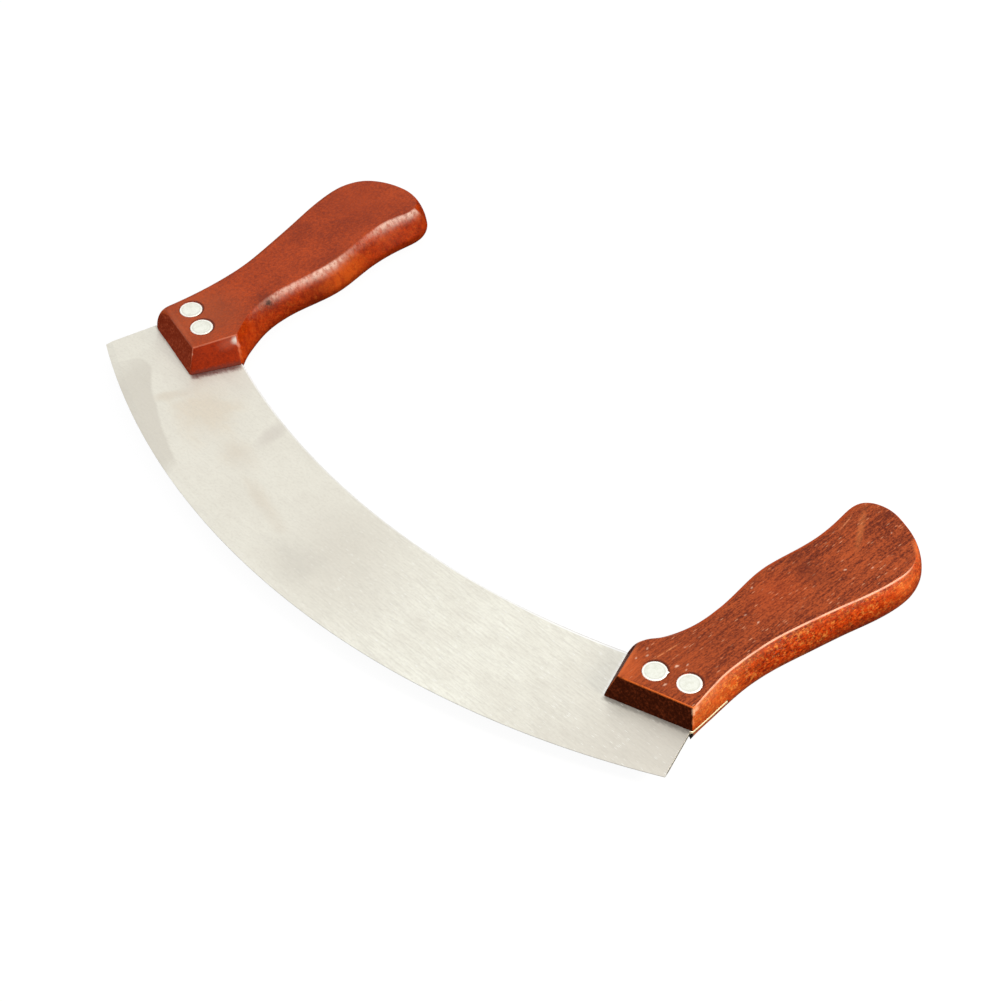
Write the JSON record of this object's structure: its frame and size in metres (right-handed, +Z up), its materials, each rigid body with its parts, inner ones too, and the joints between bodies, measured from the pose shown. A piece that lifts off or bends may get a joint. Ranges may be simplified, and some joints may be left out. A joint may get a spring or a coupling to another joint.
{
  "type": "nougat cutter",
  "caption": "Two-handled cutter with a long curved steel blade and a riveted hardwood handle on each end, pressed or rocked by both hands through nougat and other firm sweets.",
  "frame": {"origin": "bottom centre of the bounding box: on the mirror plane between the handles, midway from cutting edge to butts, at the level of the handles' undersides", "axes": "+X along the blade's chord towards the right handle, +Y from the cutting edge towards the handles' butts, +Z up, square to the blade's flat"},
  "size_m": [0.278, 0.1596, 0.0143],
  "materials": {
    "blade_steel": "finely brushed along the blade, satin, light smudges",
    "handle_wood": "oiled reddish brown hardwood, fine straight grain and pores, satin",
    "rivet_aluminium": "satin, lightly polished heads"
  },
  "bodies": {
    "root": {"blade": "blade_steel", "left_handle": "handle_wood", "right_handle": "handle_wood", "rivet_pin_left_inner": "rivet_aluminium", "rivet_pin_left_outer": "rivet_aluminium", "rivet_pin_right_inner": "rivet_aluminium", "rivet_pin_right_outer": "rivet_aluminium", "rivet_sleeve_left_inner": "rivet_aluminium", "rivet_sleeve_left_outer": "rivet_aluminium", "rivet_sleeve_right_inner": "rivet_aluminium", "rivet_sleeve_right_outer": "rivet_aluminium"}
  },
  "joints": []
}
